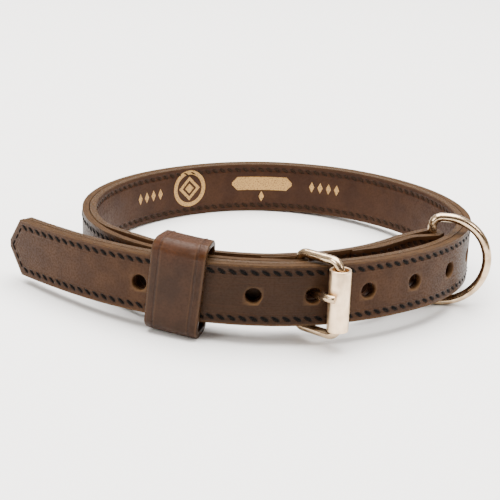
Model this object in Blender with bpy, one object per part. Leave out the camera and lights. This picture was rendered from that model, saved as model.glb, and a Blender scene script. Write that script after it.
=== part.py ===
"""Leather dog collar, fastened into a round loop with its tail through the keeper.

A strap of two stitched plies starts at the pointed tail tip, runs once round the neck through the
ring, comes back under its own tail and takes the buckle in a fold of the outer ply.
The lining ply goes on behind the buckle and folds round the ring's straight bar.
Everything is laid out with the strap's lower edge on a level plane, then leaned a little so that
it rests on the keeper, the ring and the back of the strap.
"""
import math

import bmesh
import bpy
from mathutils import Matrix, Vector

# The strap and its two plies
STRAP_WIDTH = 0.0254
PLY_THICKNESS = 0.0030
PLY_GAP = 0.0003
EDGE_CHAMFER = 0.0005
STATION_STEP = 0.0070
CUT_OVERRUN = 0.0020
PUNCH_OVERRUN = 0.0006

# The course of the strap's middle line, from the tip of the tail round to the buckle
COURSE_LENGTH = 0.700
TIP_PLACE = (-0.1036, -0.0247)
# columns: share of the course length, heading in degrees
COURSE = (
    (0.0000, -45.2), (0.0643, -36.7), (0.1286, -20.0), (0.1857, 2.8), (0.2357, 24.5),
    (0.2857, 40.6), (0.3357, 67.4), (0.3857, 96.6), (0.4429, 123.0), (0.5000, 146.2),
    (0.5571, 174.3), (0.6143, 204.4), (0.6714, 227.5), (0.7214, 251.3), (0.7643, 273.7),
    (0.8000, 291.7), (0.8429, 315.2), (0.8857, 336.9), (0.9429, 365.0), (1.0000, 391.7),
)

# The pointed tail and its holes
POINT_LENGTH = 0.0080
POINT_BLUNT = 0.0034
HOLE_COUNT = 8
HOLE_DIAMETER = 0.0066
HOLE_PITCH = 0.02345
PRONG_HOLE_PAST_BAR = 0.00385
PRONG_HOLE = 3

# The fold of the outer ply round the buckle bar
COURSE_PAST_BAR = 0.031
SKIVED_THICKNESS = 0.0015
SKIVE_LENGTH = 0.0130
FOLD_END_THICKNESS = 0.0012
FOLD_RETURN = 0.0160
FOLD_END_STAND_OFF = 0.0015
SLOT_HEIGHT = 0.0050
SLOT_REACH = 0.0090

# The lining ply stands off between the keeper and the buckle
LINING_STAND_OFF = 0.0033
LINING_BAR_STAND_OFF = 0.0044
STAND_OFF_START = 0.565
STAND_OFF_LENGTH = 0.030

# The lining's own way on from the buckle to the ring
TAB_LENGTH = 0.0715
# columns: share of the tab length, heading in degrees
TAB_COURSE = ((0.0, 11.5), (0.2, 24.2), (0.4, 35.0), (0.6, 45.8), (0.8, 44.7), (1.0, 34.6))
TAB_RETURN = 0.0480
TAB_SETTLE = 0.0140
TAB_END_THICKNESS = 0.0014
TAB_SKIVE_LENGTH = 0.0144

# The keeper loop
KEEPER_WIDTH = 0.0220
KEEPER_THICKNESS = 0.0026
KEEPER_OVER_STRAP = 0.0146
KEEPER_DROP = 0.0002
KEEPER_LEAN_DEG = 4.5
KEEPER_TURN_DEG = 5.7
KEEPER_MIDDLE = 0.0929
KEEPER_FRONT_CLEARANCE = 0.0005
KEEPER_BACK_CLEARANCE = 0.0004
KEEPER_EDGE_TRIM = 0.0006
KEEPER_CORNER = 0.0055

# The buckle
WIRE_DIAMETER = 0.0038
BUCKLE_CLEARANCE = 0.0003
FRAME_OVER_STRAP = 0.0022
FRAME_DROP = 0.0003
BAR_CORNER = 0.0035
FRONT_CORNER = 0.0045
ROLLER_PAST_HOLE = 0.00815
ROLLER_OFFSET = 0.0088
ROLLER_DIAMETER = 0.0088
ROLLER_WALL = 0.0010
ROLLER_END_PLAY = 0.0010
PRONG_DIAMETER = 0.0034
PRONG_LOOP_THICKNESS = 0.0015
PRONG_LOOP_START_DEG = 70.0
PRONG_REACH = 0.0099
PRONG_RISE = 0.0019
PRONG_OUT = 0.0207
# columns: share of the reach along the strap, share of the way out, share of full thickness
PRONG_SHANK = (
    (0.136, 0.155, 0.48), (0.271, 0.205, 0.62), (0.390, 0.31, 0.85), (0.475, 0.43, 1.0),
    (0.552, 0.56, 1.0), (0.611, 0.68, 1.0), (0.670, 0.80, 1.0), (0.760, 0.90, 0.97), (0.870, 0.965, 0.93),
    (1.0, 1.0, 0.86),
)

# The ring
RING_WIRE = 0.0040
RING_OVER_STRAP = 0.0089
RING_ARM = 0.0057
RING_CORNER = 0.0040
RING_DROP = -0.0004
RING_TURN_DEG = -4.1

# How the collar leans when it rests on the keeper, the ring and the back of the strap
REST_TURN_X_DEG = -2.866
REST_TURN_Y_DEG = -1.291

WIRE_SIDES = 14
ROUND_SIDES = 24


def smooth(value):
    """Ease from 0 to 1 as the value goes from 0 to 1."""
    share = min(max(value, 0.0), 1.0)
    return share * share * (3.0 - 2.0 * share)


def heading_at(table, share):
    """Heading in radians at a share of a course."""
    for (low, first), (high, second) in zip(table, table[1:]):
        if share <= high:
            part = (share - low) / (high - low)
            return math.radians(first + (second - first) * part)
    return math.radians(table[-1][1])


def trace(start, table, length, steps=1400):
    """Points and headings along a course, evenly spaced."""
    step = length / steps
    place = Vector(start)
    marks = [(place.copy(), heading_at(table, 0.0))]
    for index in range(steps):
        middle = heading_at(table, (index + 0.5) / steps)
        place = place + Vector((math.cos(middle), math.sin(middle))) * step
        marks.append((place.copy(), heading_at(table, (index + 1.0) / steps)))
    return marks


def sample(marks, length, distance):
    """Point and outward normal at a distance along a traced course."""
    index = min(max(distance / length, 0.0), 1.0) * (len(marks) - 1)
    low = min(int(index), len(marks) - 2)
    part = index - low
    place = marks[low][0].lerp(marks[low + 1][0], part)
    heading = marks[low][1] + (marks[low + 1][1] - marks[low][1]) * part
    return place, Vector((math.sin(heading), -math.cos(heading)))


def turned(direction, degrees):
    """A plan direction turned by so many degrees, left being positive."""
    angle = math.radians(degrees)
    return Vector((
        direction.x * math.cos(angle) - direction.y * math.sin(angle),
        direction.x * math.sin(angle) + direction.y * math.cos(angle),
    ))


def strap_point(distance, offset):
    """A point beside the strap's middle line, outward being positive."""
    place, normal = sample(STRAP_MARKS, COURSE_LENGTH, distance)
    return place + normal * offset


def steps_between(first, last, step):
    """Evenly spaced values from the first to the last, no further apart than the step."""
    count = max(2, math.ceil(abs(last - first) / step))
    return [first + (last - first) * index / count for index in range(count + 1)]


def strap_edges(distance):
    """Lower and upper edge of the strap, narrowing to the blunt point of the tail."""
    share = min(distance / POINT_LENGTH, 1.0)
    half = 0.5 * (POINT_BLUNT + (STRAP_WIDTH - POINT_BLUNT) * share)
    return STRAP_WIDTH / 2.0 - half, STRAP_WIDTH / 2.0 + half


def ribbon(rows):
    """Closed band from rows of place, normal, outer offset, inner offset, low and high."""
    work = bmesh.new()
    rings = []
    for place, normal, outer, inner, low, high in rows:
        edge = min(EDGE_CHAMFER, (outer - inner) / 3.0)
        corners = (
            (outer, low + edge), (outer, high - edge), (outer - edge, high), (inner + edge, high),
            (inner, high - edge), (inner, low + edge), (inner + edge, low), (outer - edge, low),
        )
        ring = []
        for offset, height in corners:
            spot = place + normal * offset
            ring.append(work.verts.new((spot.x, spot.y, height)))
        rings.append(ring)
    for first, second in zip(rings, rings[1:]):
        for index in range(8):
            after = (index + 1) % 8
            work.faces.new((first[index], first[after], second[after], second[index]))
    work.faces.new(list(reversed(rings[0])))
    work.faces.new(rings[-1])
    bmesh.ops.recalc_face_normals(work, faces=work.faces)
    return work


def swept_wire(points, plane_normal, half_sizes, closed):
    """Round wire along points in one plane, half sizes being in and across that plane."""
    work = bmesh.new()
    rings = []
    count = len(points)
    for index, point in enumerate(points):
        before = points[index - 1] if index > 0 or closed else point
        after = points[(index + 1) % count] if index < count - 1 or closed else point
        tangent = (after - before).normalized()
        side = plane_normal.cross(tangent).normalized()
        ring = []
        for turn in range(WIRE_SIDES):
            angle = 2.0 * math.pi * turn / WIRE_SIDES
            shift = side * (half_sizes[index][0] * math.cos(angle))
            shift = shift + plane_normal * (half_sizes[index][1] * math.sin(angle))
            ring.append(work.verts.new(point + shift))
        rings.append(ring)
    pairs = list(zip(rings, rings[1:]))
    if closed:
        pairs.append((rings[-1], rings[0]))
    for first, second in pairs:
        for index in range(WIRE_SIDES):
            after = (index + 1) % WIRE_SIDES
            work.faces.new((first[index], first[after], second[after], second[index]))
    if not closed:
        work.faces.new(list(reversed(rings[0])))
        work.faces.new(rings[-1])
    bmesh.ops.recalc_face_normals(work, faces=work.faces)
    return work


def rounded_loop(corners, radii, steps):
    """Closed run of points round straight sides whose corners are arcs."""
    points = []
    count = len(corners)
    for index, corner in enumerate(corners):
        before = (corners[index - 1] - corner).normalized()
        after = (corners[(index + 1) % count] - corner).normalized()
        radius = radii[index]
        centre = corner + (before + after) * radius
        for turn in range(steps + 1):
            angle = 0.5 * math.pi * turn / steps
            points.append(centre - after * (radius * math.cos(angle)) - before * (radius * math.sin(angle)))
    return points


def leather(name, colour, roughness):
    """Plain leather material."""
    made = bpy.data.materials.new(name)
    made.use_nodes = True
    shader = made.node_tree.nodes["Principled BSDF"]
    shader.inputs["Base Color"].default_value = (*colour, 1.0)
    shader.inputs["Roughness"].default_value = roughness
    return made


def nickel(name):
    """Plain polished nickel material."""
    made = leather(name, (0.78, 0.70, 0.60), 0.25)
    made.node_tree.nodes["Principled BSDF"].inputs["Metallic"].default_value = 1.0
    return made


def store(name, work, origin, material):
    """Keep a finished shape, the place its origin goes and its material until the collar is set down."""
    PIECES.append((name, work, origin, material))


def set_down(pieces):
    """Lean the shapes into the rest pose, stand them on the floor over the origin and make the nodes."""
    lean = Matrix.Rotation(math.radians(REST_TURN_Y_DEG), 4, "Y")
    lean = lean @ Matrix.Rotation(math.radians(REST_TURN_X_DEG), 4, "X")
    for piece in pieces:
        piece[1].transform(lean)
    spots = [vert.co for piece in pieces for vert in piece[1].verts]
    low = [min(spot[axis] for spot in spots) for axis in range(3)]
    high = [max(spot[axis] for spot in spots) for axis in range(3)]
    shift = Vector((-(low[0] + high[0]) / 2.0, -(low[1] + high[1]) / 2.0, -low[2]))
    for name, work, origin, material in pieces:
        spot = lean @ origin + shift if origin is not None else Vector((0.0, 0.0, 0.0))
        work.transform(Matrix.Translation(shift - spot))
        mesh = bpy.data.meshes.new(name)
        work.to_mesh(mesh)
        work.free()
        node = bpy.data.objects.new(name, mesh)
        node.location = spot
        bpy.context.scene.collection.objects.link(node)
        node.data.materials.append(material)


def cut(work, cutter):
    """The first shape with the second taken out of it."""
    pair = []
    for label, shape in (("cut_target", work), ("cut_tool", cutter)):
        mesh = bpy.data.meshes.new(label)
        shape.to_mesh(mesh)
        shape.free()
        made = bpy.data.objects.new(label, mesh)
        bpy.context.scene.collection.objects.link(made)
        pair.append(made)
    target, tool = pair
    taken = target.modifiers.new("taken", "BOOLEAN")
    taken.operation = "DIFFERENCE"
    taken.solver = "EXACT"
    taken.object = tool
    bpy.context.view_layer.update()
    graph = bpy.context.evaluated_depsgraph_get()
    result = bmesh.new()
    result.from_object(target, graph)
    for made in pair:
        mesh = made.data
        bpy.data.objects.remove(made, do_unlink=True)
        bpy.data.meshes.remove(mesh)
    bmesh.ops.remove_doubles(result, verts=result.verts, dist=0.000005)
    return result


def tail_place(spot):
    """Distance from the tip to the place on the tail that a spot behind it faces."""
    tail = STRAP_MARKS[:len(STRAP_MARKS) // 2]
    nearest = min(range(len(tail)), key=lambda index: (tail[index][0] - spot).length)
    return COURSE_LENGTH * nearest / (len(STRAP_MARKS) - 1)


def hole_place(index):
    """Distance from the tip to a hole, counted from the one that the prong goes through."""
    return PRONG_HOLE_PLACE + HOLE_PITCH * (index - PRONG_HOLE)


def hole_cutters():
    """A row of round cutters through both plies, one at each prong hole."""
    work = bmesh.new()
    reach = 2.0 * (PLY_THICKNESS + PUNCH_OVERRUN) + PLY_GAP
    for index in range(HOLE_COUNT):
        place, normal = sample(STRAP_MARKS, COURSE_LENGTH, hole_place(index))
        axis = Vector((normal.x, normal.y, 0.0))
        turn = axis.to_track_quat("Z", "Y").to_matrix().to_4x4()
        seat = Matrix.Translation((place.x, place.y, STRAP_WIDTH / 2.0)) @ turn
        bmesh.ops.create_cone(
            work, cap_ends=True, segments=ROUND_SIDES, radius1=HOLE_DIAMETER / 2.0,
            radius2=HOLE_DIAMETER / 2.0, depth=reach, matrix=seat,
        )
    return work


def block(centre, along, size):
    """A box in plan direction along, of length, depth and height."""
    work = bmesh.new()
    turn = Matrix.Rotation(math.atan2(along.y, along.x), 4, "Z")
    seat = Matrix.Translation(centre) @ turn @ Matrix.Diagonal((*size, 1.0))
    bmesh.ops.create_cube(work, size=1.0, matrix=seat)
    return work


def lining_stand_off(distance):
    """How far the lining leaves the strap's middle, at a distance along the course."""
    rise = smooth((distance - STAND_OFF_START) / STAND_OFF_LENGTH)
    more = smooth((distance - (BAR_PLACE - SKIVE_LENGTH)) / SKIVE_LENGTH)
    return LINING_STAND_OFF * rise + (LINING_BAR_STAND_OFF - LINING_STAND_OFF) * more


# Places that several pieces share
STRAP_MARKS = trace(TIP_PLACE, COURSE, COURSE_LENGTH)
BAR_PLACE = COURSE_LENGTH - COURSE_PAST_BAR
HALF_GAP = PLY_GAP / 2.0
STRAP_HALF = PLY_THICKNESS + HALF_GAP
WIRE_HALF = WIRE_DIAMETER / 2.0
MIDDLE = STRAP_WIDTH / 2.0
BAR_REACH = WIRE_HALF + BUCKLE_CLEARANCE + SKIVED_THICKNESS
BAR = strap_point(BAR_PLACE, STRAP_HALF - BAR_REACH)
BAR_NORMAL = sample(STRAP_MARKS, COURSE_LENGTH, BAR_PLACE)[1]
BAR_ALONG = turned(BAR_NORMAL, 90.0)
PRONG_HOLE_PLACE = tail_place(BAR) + PRONG_HOLE_PAST_BAR
PIECES = []

for old in list(bpy.data.objects):
    bpy.data.objects.remove(old, do_unlink=True)

# Outer ply: the tail and the loop, its skived end folded round the buckle bar
rows = []
tip_steps = steps_between(0.0, POINT_LENGTH, POINT_LENGTH / 2.0)
for distance in tip_steps[:-1] + steps_between(POINT_LENGTH, BAR_PLACE, STATION_STEP):
    spot, normal = sample(STRAP_MARKS, COURSE_LENGTH, distance)
    skive = smooth((distance - (BAR_PLACE - SKIVE_LENGTH)) / (SKIVE_LENGTH * 0.8))
    thick = PLY_THICKNESS + (SKIVED_THICKNESS - PLY_THICKNESS) * skive
    rows.append((spot, normal, STRAP_HALF, STRAP_HALF - thick, *strap_edges(distance)))
for index in range(1, 12):
    normal = turned(BAR_NORMAL, 180.0 * index / 12)
    rows.append((BAR, normal, BAR_REACH, BAR_REACH - SKIVED_THICKNESS, 0.0, STRAP_WIDTH))
START_OUT = BAR_REACH - (STRAP_HALF - BAR_REACH)
END_OUT = FOLD_END_THICKNESS + FOLD_END_STAND_OFF - HALF_GAP
for distance in steps_between(0.0, FOLD_RETURN, STATION_STEP / 3.0):
    spot, normal = sample(STRAP_MARKS, COURSE_LENGTH, BAR_PLACE - distance)
    share = distance / FOLD_RETURN
    thick = SKIVED_THICKNESS + (FOLD_END_THICKNESS - SKIVED_THICKNESS) * share
    outer = START_OUT + (END_OUT - START_OUT) * smooth(share * 1.2)
    rows.append((spot, -normal, outer, outer - thick, 0.0, STRAP_WIDTH))
outer_ply = cut(ribbon(rows), hole_cutters())
slot_size = (SLOT_REACH * 2.0, BAR_REACH * 2.0 + CUT_OVERRUN, SLOT_HEIGHT)
slot = block(Vector((BAR.x, BAR.y, MIDDLE)), BAR_ALONG, slot_size)
outer_ply = cut(outer_ply, slot)
store("strap_outer_ply", outer_ply, None,
      leather("outer_leather", (0.095, 0.052, 0.032), 0.5))

# Lining ply: lies inside the outer ply, then goes on as the ring's tab
rows = []
for distance in tip_steps[:-1] + steps_between(POINT_LENGTH, BAR_PLACE, STATION_STEP):
    spot, normal = sample(STRAP_MARKS, COURSE_LENGTH, distance)
    outer = -HALF_GAP - lining_stand_off(distance)
    rows.append((spot, normal, outer, outer - PLY_THICKNESS, *strap_edges(distance)))
tab_start = strap_point(BAR_PLACE, -HALF_GAP - LINING_BAR_STAND_OFF - PLY_THICKNESS / 2.0)
TAB_MARKS = trace(tab_start, TAB_COURSE, TAB_LENGTH, 200)
for distance in steps_between(0.0, TAB_LENGTH, STATION_STEP)[1:]:
    spot, normal = sample(TAB_MARKS, TAB_LENGTH, distance)
    rows.append((spot, normal, PLY_THICKNESS / 2.0, -PLY_THICKNESS / 2.0, 0.0, STRAP_WIDTH))
tab_end, tab_normal = sample(TAB_MARKS, TAB_LENGTH, TAB_LENGTH)
RING_REACH = RING_WIRE / 2.0 + BUCKLE_CLEARANCE
RING_BAR = tab_end + tab_normal * (RING_REACH + PLY_THICKNESS / 2.0)
for index in range(1, 12):
    normal = turned(tab_normal, -180.0 * index / 12)
    rows.append((RING_BAR, normal, -RING_REACH, -RING_REACH - PLY_THICKNESS, 0.0, STRAP_WIDTH))
CLOSE = PLY_THICKNESS / 2.0 + PLY_GAP
OPEN = PLY_THICKNESS / 2.0 + 2.0 * RING_REACH
for distance in steps_between(0.0, TAB_RETURN, STATION_STEP / 2.0):
    spot, normal = sample(TAB_MARKS, TAB_LENGTH, TAB_LENGTH - distance)
    gap = OPEN + (CLOSE - OPEN) * smooth(distance / TAB_SETTLE)
    skive = smooth((distance - TAB_RETURN + TAB_SKIVE_LENGTH) / TAB_SKIVE_LENGTH)
    thick = PLY_THICKNESS + (TAB_END_THICKNESS - PLY_THICKNESS) * skive
    rows.append((spot, -normal, -gap, -gap - thick, 0.0, STRAP_WIDTH))
lining = cut(ribbon(rows), hole_cutters())
store("strap_lining_ply", lining, None,
      leather("lining_leather", (0.070, 0.036, 0.024), 0.55))

# Keeper: a closed band over the tail, its back band between the lap's two plies
work = bmesh.new()
rings = []
lap_marks = [STRAP_MARKS[index] for index in range(len(STRAP_MARKS)) if index > len(STRAP_MARKS) * 0.8]


def lap_depth(distance):
    """How far out the returning plies lie from the tail's middle, at a distance from its tip."""
    spot, normal = sample(STRAP_MARKS, COURSE_LENGTH, distance)
    along = turned(normal, 90.0)
    nearest = min(lap_marks, key=lambda mark: abs((mark[0] - spot).dot(along)))
    return (nearest[0] - spot).dot(normal)


def keeper_point(distance, point, split):
    """One point of the keeper's band, moved along the strap as the keeper is turned on it."""
    moved = distance + math.tan(math.radians(KEEPER_TURN_DEG)) * (point.y - MIDDLE)
    spot, normal = sample(STRAP_MARKS, COURSE_LENGTH, moved)
    out = point.x if point.x > split else point.x + lap_depth(moved) - lap_depth(distance)
    return (*(spot + normal * out), point.y)


for share in (0.0, 0.03, 0.25, 0.5, 0.75, 0.97, 1.0):
    distance = KEEPER_MIDDLE + (share - 0.5) * KEEPER_WIDTH
    front = STRAP_HALF + KEEPER_FRONT_CLEARANCE
    back = lap_depth(distance) + HALF_GAP - KEEPER_BACK_CLEARANCE
    middle = MIDDLE + KEEPER_DROP - math.tan(math.radians(KEEPER_LEAN_DEG)) * (share - 0.5) * KEEPER_WIDTH
    half = (STRAP_WIDTH + KEEPER_OVER_STRAP) / 2.0 - KEEPER_THICKNESS
    trim = KEEPER_EDGE_TRIM if share in (0.0, 1.0) else 0.0
    ring = []
    for grow, bend in ((KEEPER_THICKNESS - trim, KEEPER_CORNER), (trim, KEEPER_CORNER - KEEPER_THICKNESS)):
        box = [
            Vector((front + grow, middle - half - grow)), Vector((front + grow, middle + half + grow)),
            Vector((back - grow, middle + half + grow)), Vector((back - grow, middle - half - grow)),
        ]
        loop = rounded_loop(box, [bend] * 4, 5)
        split = (front + back) / 2.0
        ring.append([work.verts.new(keeper_point(distance, point, split)) for point in loop])
    rings.append(ring)
count = len(rings[0][0])
for first, second in zip(rings, rings[1:]):
    for side in (0, 1):
        for index in range(count):
            after = (index + 1) % count
            work.faces.new((first[side][index], first[side][after], second[side][after], second[side][index]))
for ring in (rings[0], rings[-1]):
    for index in range(count):
        after = (index + 1) % count
        work.faces.new((ring[0][index], ring[0][after], ring[1][after], ring[1][index]))
bmesh.ops.recalc_face_normals(work, faces=work.faces)
keeper_spot = strap_point(KEEPER_MIDDLE, 0.0)
store("keeper_loop", work, Vector((keeper_spot.x, keeper_spot.y, MIDDLE)),
      leather("keeper_leather", (0.120, 0.058, 0.032), 0.45))

# Buckle frame: one wire, upright bar behind the strap and front bar inside the roller
ROLLER = strap_point(PRONG_HOLE_PLACE + ROLLER_PAST_HOLE, ROLLER_OFFSET)
frame_middle = MIDDLE - FRAME_DROP
frame_inside = STRAP_WIDTH + FRAME_OVER_STRAP
arm_half = frame_inside / 2.0 + WIRE_HALF
corners = [
    Vector((BAR.x, BAR.y, frame_middle - arm_half)), Vector((ROLLER.x, ROLLER.y, frame_middle - arm_half)),
    Vector((ROLLER.x, ROLLER.y, frame_middle + arm_half)), Vector((BAR.x, BAR.y, frame_middle + arm_half)),
]
across = Vector((ROLLER.x - BAR.x, ROLLER.y - BAR.y, 0.0)).normalized()
frame_points = rounded_loop(corners, [BAR_CORNER, FRONT_CORNER, FRONT_CORNER, BAR_CORNER], 7)
frame_sizes = [(WIRE_HALF, WIRE_HALF)] * len(frame_points)
frame = swept_wire(frame_points, across.cross(Vector((0.0, 0.0, 1.0))), frame_sizes, True)
store("buckle_frame", frame, Vector((BAR.x, BAR.y, frame_middle)), nickel("frame_nickel"))

# Roller: a rolled tube that turns on the frame's front bar
work = bmesh.new()
rings = []
half = frame_inside / 2.0 - ROLLER_END_PLAY
outer = ROLLER_DIAMETER / 2.0
inner = outer - ROLLER_WALL
soft = ROLLER_WALL / 4.0
outline = ((outer, -half + soft), (outer, half - soft), (outer - soft, half), (inner, half), (inner, -half),
           (outer - soft, -half))
for radius, height in outline:
    ring = []
    for turn in range(ROUND_SIDES):
        angle = 2.0 * math.pi * turn / ROUND_SIDES
        x = ROLLER.x + radius * math.cos(angle)
        y = ROLLER.y + radius * math.sin(angle)
        ring.append(work.verts.new((x, y, frame_middle + height)))
    rings.append(ring)
for index, first in enumerate(rings):
    second = rings[(index + 1) % len(rings)]
    for turn in range(ROUND_SIDES):
        after = (turn + 1) % ROUND_SIDES
        work.faces.new((first[turn], first[after], second[after], second[turn]))
bmesh.ops.recalc_face_normals(work, faces=work.faces)
store("buckle_roller", work, Vector((ROLLER.x, ROLLER.y, frame_middle)), nickel("roller_nickel"))

# Prong: flattened hook round the bar, then a round shank out through the hole and over the roller
hook = WIRE_HALF + BUCKLE_CLEARANCE + PRONG_LOOP_THICKNESS / 2.0
flat = (PRONG_LOOP_THICKNESS / 2.0, PRONG_DIAMETER / 2.0)
points = []
sizes = []
for turn in range(15):
    normal = turned(BAR_NORMAL, PRONG_LOOP_START_DEG + (360.0 - PRONG_LOOP_START_DEG) * turn / 14)
    spot = BAR + normal * hook
    points.append(Vector((spot.x, spot.y, MIDDLE)))
    sizes.append(flat)
for along, out, thick in PRONG_SHANK:
    spot = BAR + BAR_ALONG * (along * PRONG_REACH) + BAR_NORMAL * (out * PRONG_OUT)
    points.append(Vector((spot.x, spot.y, MIDDLE + PRONG_RISE * smooth((out - 0.3) / 0.7))))
    sizes.append((thick * PRONG_DIAMETER / 2.0, (0.5 + 0.5 * thick) * PRONG_DIAMETER / 2.0))
prong = swept_wire(points, Vector((0.0, 0.0, 1.0)), sizes, False)
store("buckle_prong", prong, Vector((BAR.x, BAR.y, MIDDLE)), nickel("prong_nickel"))

# Ring: straight bar in the lining's fold, its bow outside the strap that runs through it
ring_middle = MIDDLE - RING_DROP
ring_half = (STRAP_WIDTH + RING_OVER_STRAP) / 2.0 + RING_WIRE / 2.0
away = turned(Vector((1.0, 0.0)), RING_TURN_DEG)
away = Vector((away.x, away.y, 0.0))
up = Vector((0.0, 0.0, 1.0))
seat = Vector((RING_BAR.x, RING_BAR.y, ring_middle))
points = []
for turn in range(6):
    angle = 0.5 * math.pi * turn / 5
    shift = away * (RING_CORNER * (1.0 - math.sin(angle)))
    points.append(seat + shift + up * (ring_half - RING_CORNER * (1.0 - math.cos(angle))))
for turn in range(6):
    angle = 0.5 * math.pi * turn / 5
    shift = away * (RING_CORNER * (1.0 - math.cos(angle)))
    points.append(seat + shift - up * (ring_half - RING_CORNER * (1.0 - math.sin(angle))))
for turn in range(25):
    angle = -0.5 * math.pi + math.pi * turn / 24
    shift = away * (RING_ARM + ring_half * math.cos(angle))
    points.append(seat + shift + up * (ring_half * math.sin(angle)))
sizes = [(RING_WIRE / 2.0, RING_WIRE / 2.0)] * len(points)
ring = swept_wire(points, away.cross(up), sizes, True)
store("d_ring", ring, seat, nickel("ring_nickel"))

set_down(PIECES)
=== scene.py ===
import math

import bpy
import numpy as np
from mathutils import Matrix, Vector


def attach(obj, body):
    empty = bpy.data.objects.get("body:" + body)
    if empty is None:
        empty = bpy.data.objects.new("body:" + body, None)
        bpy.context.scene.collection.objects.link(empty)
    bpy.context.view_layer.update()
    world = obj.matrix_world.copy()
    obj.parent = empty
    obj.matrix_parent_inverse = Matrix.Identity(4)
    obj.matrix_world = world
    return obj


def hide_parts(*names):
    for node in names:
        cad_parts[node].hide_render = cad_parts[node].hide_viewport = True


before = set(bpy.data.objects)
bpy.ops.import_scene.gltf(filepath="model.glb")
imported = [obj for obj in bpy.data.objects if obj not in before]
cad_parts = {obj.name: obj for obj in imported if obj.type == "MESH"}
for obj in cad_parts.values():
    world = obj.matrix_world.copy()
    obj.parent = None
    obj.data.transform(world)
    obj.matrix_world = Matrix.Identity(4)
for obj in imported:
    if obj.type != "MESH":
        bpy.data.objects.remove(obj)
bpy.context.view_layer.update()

# Camera: a long lens in front of the buckle, a little above the collar, at the photograph's angle.
bpy.ops.object.camera_add()
camera = bpy.context.object
camera.name = "camera"
camera.data.sensor_width = 36.0
camera.data.lens = 82.91
camera.data.clip_end = 20.0
camera.matrix_world = Matrix((
    (0.998465, -0.054803, -0.007999, -0.003861),
    (0.011986, 0.354815, -0.934860, -0.503244),
    (0.054071, 0.933329, 0.354928, 0.200188),
    (0.0, 0.0, 0.0, 1.0),
))
bpy.context.scene.camera = camera

# Floor and light: a pale seamless floor under a big soft box overhead, a weaker one at the left,
# and a dim warm room that the metal mirrors.
bpy.ops.mesh.primitive_plane_add(size=8.0, location=(0.0, 0.0, 0.0))
floor = bpy.context.object
floor.name = "floor"
paper = bpy.data.materials.new("pale_paper")
paper.use_nodes = True
paper_shader = paper.node_tree.nodes["Principled BSDF"]
paper_shader.inputs["Base Color"].default_value = (0.90, 0.90, 0.90, 1.0)
paper_shader.inputs["Roughness"].default_value = 0.9
paper_shader.inputs["Specular IOR Level"].default_value = 0.1
floor.data.materials.append(paper)
room = bpy.data.worlds.new("room")
room.use_nodes = True
room.node_tree.nodes["Background"].inputs["Color"].default_value = (1.0, 0.965, 0.92, 1.0)
sky_place = room.node_tree.nodes.new("ShaderNodeTexCoord")
sky_axes = room.node_tree.nodes.new("ShaderNodeVectorMath")
sky_axes.operation = "DOT_PRODUCT"
sky_axes.inputs[1].default_value = (0.0, 0.42, 0.90)
sky_ramp = room.node_tree.nodes.new("ShaderNodeValToRGB")
room.node_tree.links.new(sky_place.outputs["Generated"], sky_axes.inputs[0])
room.node_tree.links.new(sky_axes.outputs["Value"], sky_ramp.inputs[0])
room.node_tree.links.new(sky_ramp.outputs[0], room.node_tree.nodes["Background"].inputs["Color"])
sky_ramp.color_ramp.elements[0].position = 0.05
sky_ramp.color_ramp.elements[0].color = (0.085, 0.055, 0.038, 1.0)
sky_ramp.color_ramp.elements[1].position = 0.5
sky_ramp.color_ramp.elements[1].color = (1.0, 0.955, 0.90, 1.0)
room.node_tree.nodes["Background"].inputs["Strength"].default_value = 0.9
bpy.context.scene.world = room
# columns: name, place, aimed at, width, power, colour
SOFT_BOXES = (
    ("overhead_box", (0.0, 0.35, 2.00), (0.0, 0.25, 0.0), 2.4, 230.0, (1.0, 0.975, 0.94)),
    ("left_box", (-0.95, -0.75, 0.65), (0.0, -0.03, 0.02), 0.5, 10.0, (1.0, 0.95, 0.89)),
    ("right_box", (1.0, -0.55, 0.75), (0.03, -0.05, 0.02), 0.4, 7.0, (1.0, 0.95, 0.89)),
)
for box_name, place, aim, width, power, colour in SOFT_BOXES:
    bpy.ops.object.light_add(type="AREA", location=place)
    soft_box = bpy.context.object
    soft_box.name = box_name
    soft_box.rotation_euler = (Vector(aim) - Vector(place)).to_track_quat("-Z", "Y").to_euler()
    soft_box.data.size = width
    soft_box.data.energy = power
    soft_box.data.color = colour

# Face leather: one strip of dark brown harness leather with a pointed tail and eight punched holes.
# It is cut and finished flat, then bent once round the neck, and its skived end is turned back
# round the buckle bar.
STRAP_WIDTH = 0.0254
LEATHER_THICKNESS = 0.0030
LAYER_GAP = 0.0003
ARRIS = 0.00045
CROSS_CUT_STEP = 0.0022
TAIL_POINT = 0.0080
TAIL_BLUNT = 0.0034
HOLE_DIAMETER = 0.0066
HOLE_STEP = 0.02345
PRONG_HOLE_PLACE = 0.14685
HOLES_BEFORE_PRONG = 3
HOLES_IN_ALL = 8
STRAP_LENGTH = 0.700
TAIL_PLACE = (-0.1036, -0.0247)
# columns: share of the strap's length, heading in degrees
STRAP_COURSE = (
    (0.0000, -45.2), (0.0643, -36.7), (0.1286, -20.0), (0.1857, 2.8), (0.2357, 24.5),
    (0.2857, 40.6), (0.3357, 67.4), (0.3857, 96.6), (0.4429, 123.0), (0.5000, 146.2),
    (0.5571, 174.3), (0.6143, 204.4), (0.6714, 227.5), (0.7214, 251.3), (0.7643, 273.7),
    (0.8000, 291.7), (0.8429, 315.2), (0.8857, 336.9), (0.9429, 365.0), (1.0000, 391.7),
)
BAR_DISTANCE = 0.669
BAR_WIRE = 0.0038
WIRE_CLEARANCE = 0.0003
SKIVED_THICKNESS = 0.0015
SKIVE_LENGTH = 0.0130
FOLD_END_THICKNESS = 0.0012
FOLD_END_STAND_OFF = 0.0015
FOLD_LENGTH = 0.0160
PRONG_SLOT_HEIGHT = 0.0050
PRONG_SLOT_REACH = 0.0090


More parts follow.
